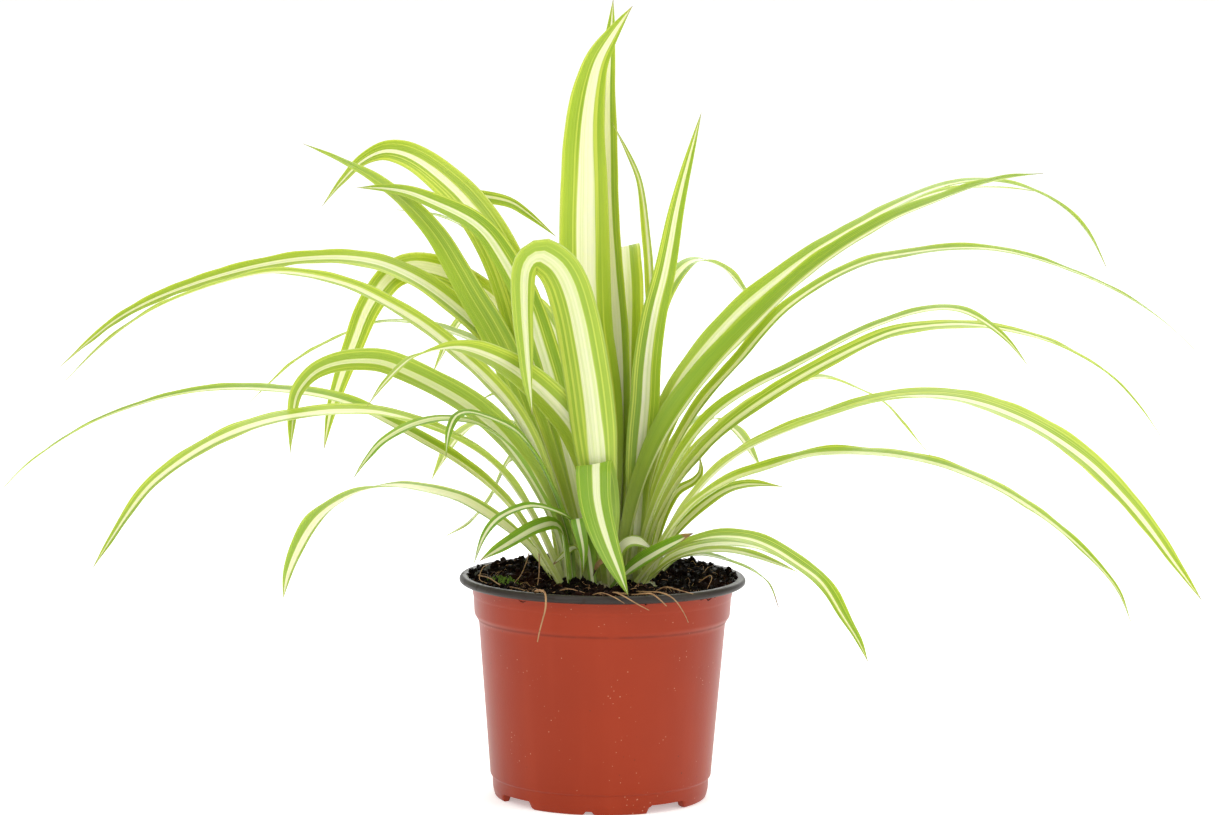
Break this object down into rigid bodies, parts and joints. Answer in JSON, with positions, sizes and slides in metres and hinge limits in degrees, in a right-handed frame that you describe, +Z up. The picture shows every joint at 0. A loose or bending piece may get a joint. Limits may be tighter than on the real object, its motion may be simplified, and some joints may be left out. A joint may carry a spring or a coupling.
{
  "type": "potted spider plant",
  "caption": "Spider plant with arching cream-striped strap leaves growing from short crowns in potting soil, in a small round tapered nursery pot.",
  "frame": {"origin": "centre of the overall box at the surface that the pot stands on, at the pot's axis", "axes": "+Z up, -Y towards the front, +X to the right of the front and along the widest spread of the leaves"},
  "size_m": [0.5032, 0.3, 0.3333],
  "materials": {
    "pot": "satin moulded plastic, terracotta with a grey rim",
    "soil": "rough, moist and crumbly",
    "crown": "pale, smooth leaf bases",
    "leaf": "satin, green margins with a cream stripe along the middle",
    "root": "dry and fibrous"
  },
  "bodies": {
    "root": {"back_leaf_01": "leaf", "back_leaf_02": "leaf", "back_leaf_03": "leaf", "back_leaf_04": "leaf", "back_leaf_05": "leaf", "back_leaf_06": "leaf", "front_root": "root", "left_crown": "crown", "left_leaf_01": "leaf", "left_leaf_02": "leaf", "left_leaf_03": "leaf", "left_leaf_04": "leaf", "left_leaf_05": "leaf", "left_leaf_06": "leaf", "left_leaf_07": "leaf", "left_leaf_08": "leaf", "left_leaf_09": "leaf", "left_leaf_10": "leaf", "left_leaf_11": "leaf", "left_leaf_12": "leaf", "left_leaf_13": "leaf", "left_leaf_14": "leaf", "left_leaf_15": "leaf", "left_leaf_16": "leaf", "left_leaf_17": "leaf", "left_leaf_18": "leaf", "left_leaf_19": "leaf", "left_leaf_20": "leaf", "left_leaf_21": "leaf", "left_leaf_22": "leaf", "middle_crown": "crown", "middle_leaf_01": "leaf", "middle_leaf_02": "leaf", "middle_leaf_03": "leaf", "middle_leaf_04": "leaf", "middle_leaf_05": "leaf", "middle_leaf_06": "leaf", "middle_leaf_07": "leaf", "nursery_pot": "pot", "potting_soil": "soil", "right_crown": "crown", "right_leaf_01": "leaf", "right_leaf_02": "leaf", "right_leaf_03": "leaf", "right_leaf_04": "leaf", "right_leaf_05": "leaf", "right_leaf_06": "leaf", "right_leaf_07": "leaf", "right_leaf_08": "leaf", "right_leaf_09": "leaf", "right_leaf_10": "leaf", "right_leaf_11": "leaf", "right_leaf_12": "leaf", "right_leaf_13": "leaf", "right_leaf_14": "leaf", "right_leaf_15": "leaf", "right_leaf_16": "leaf", "right_leaf_17": "leaf", "right_leaf_18": "leaf", "rim_root": "root"}
  },
  "joints": []
}
